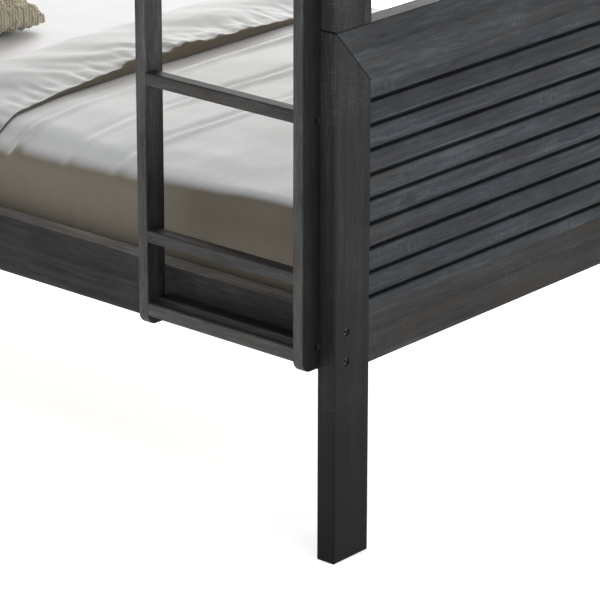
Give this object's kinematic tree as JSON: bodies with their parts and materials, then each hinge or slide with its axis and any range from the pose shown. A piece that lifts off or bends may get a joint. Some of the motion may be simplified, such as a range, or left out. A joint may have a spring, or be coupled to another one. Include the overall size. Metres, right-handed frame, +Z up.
{
  "type": "bunk bed with ladder",
  "caption": "Dark weathered-wood bunk bed with grooved, mitre-framed end panels, slatted bases, guard rails, a vertical hook-on ladder and made-up mattresses.",
  "frame": {"origin": "centre of the bounding box's bottom face, on the floor", "axes": "+X towards the foot end (the end beside the ladder), +Y towards the rear side, +Z up"},
  "size_m": [1.99, 1.1282, 1.7],
  "materials": {
    "frame_wood": "weathered charcoal stain over saw-marked grain, matt lacquer",
    "slat_pine": "planed pine, unfinished",
    "dowel_beech": "turned beech, unfinished",
    "zinc_steel": "zinc plated",
    "black_steel": "black powder coat",
    "sheet_cotton": "white woven cotton sheet over the mattress",
    "duvet_cotton": "taupe woven cotton with a paler lining",
    "pillow_cotton": "white woven cotton",
    "cushion_knit": "beige cable knit"
  },
  "bodies": {
    "lower_bunk": {"lower_barrel_nuts": "zinc_steel", "lower_foot_boards": "frame_wood", "lower_foot_bottom_rail": "frame_wood", "lower_foot_post_front": "frame_wood", "lower_foot_post_rear": "frame_wood", "lower_foot_top_rail": "frame_wood", "lower_frame_dowels": "dowel_beech", "lower_head_boards": "frame_wood", "lower_head_bottom_rail": "frame_wood", "lower_head_post_front": "frame_wood", "lower_head_post_rear": "frame_wood", "lower_head_top_rail": "frame_wood", "lower_rail_bolts": "zinc_steel", "lower_side_rail_front": "frame_wood", "lower_side_rail_rear": "frame_wood", "lower_slat_ledges": "slat_pine", "lower_slats": "slat_pine", "seam_dowels": "dowel_beech"},
    "upper_bunk": {"guard_front_lower_bar": "frame_wood", "guard_front_upper_bar": "frame_wood", "guard_rear_lower_bar": "frame_wood", "guard_rear_upper_bar": "frame_wood", "guard_screws": "zinc_steel", "guard_uprights": "frame_wood", "upper_barrel_nuts": "zinc_steel", "upper_foot_boards": "frame_wood", "upper_foot_bottom_rail": "frame_wood", "upper_foot_post_front": "frame_wood", "upper_foot_post_rear": "frame_wood", "upper_foot_top_rail": "frame_wood", "upper_frame_dowels": "dowel_beech", "upper_head_boards": "frame_wood", "upper_head_bottom_rail": "frame_wood", "upper_head_post_front": "frame_wood", "upper_head_post_rear": "frame_wood", "upper_head_top_rail": "frame_wood", "upper_rail_bolts": "zinc_steel", "upper_side_rail_front": "frame_wood", "upper_side_rail_rear": "frame_wood", "upper_slat_ledges": "slat_pine", "upper_slats": "slat_pine"},
    "ladder": {"ladder_foot_rung": "frame_wood", "ladder_hook_screws": "zinc_steel", "ladder_hooks": "black_steel", "ladder_lower_cleat": "frame_wood", "ladder_rail_left": "frame_wood", "ladder_rail_right": "frame_wood", "ladder_rung_1": "frame_wood", "ladder_rung_2": "frame_wood", "ladder_rung_3": "frame_wood", "ladder_rung_4": "frame_wood", "ladder_upper_cleat": "frame_wood"},
    "lower_bedding": {"knit_cushion": "cushion_knit", "lower_duvet": "duvet_cotton", "lower_mattress": "sheet_cotton", "lower_pillow": "pillow_cotton"},
    "upper_bedding": {"upper_duvet": "duvet_cotton", "upper_mattress": "sheet_cotton", "upper_pillow": "pillow_cotton"}
  },
  "joints": [
    {"name": "upper_bunk_lift", "type": "slide", "parent": "lower_bunk", "child": "upper_bunk", "axis": [0, 0, 1], "range_m": [0, 0.05]},
    {"name": "ladder_lift", "type": "slide", "parent": "upper_bunk", "child": "ladder", "axis": [0, 0, 1], "range_m": [0, 0.05]},
    {"name": "lower_bedding_lift", "type": "slide", "parent": "lower_bunk", "child": "lower_bedding", "axis": [0, 0, 1], "range_m": [0, 0.3]},
    {"name": "upper_bedding_lift", "type": "slide", "parent": "upper_bunk", "child": "upper_bedding", "axis": [0, 0, 1], "range_m": [0, 0.3]}
  ]
}
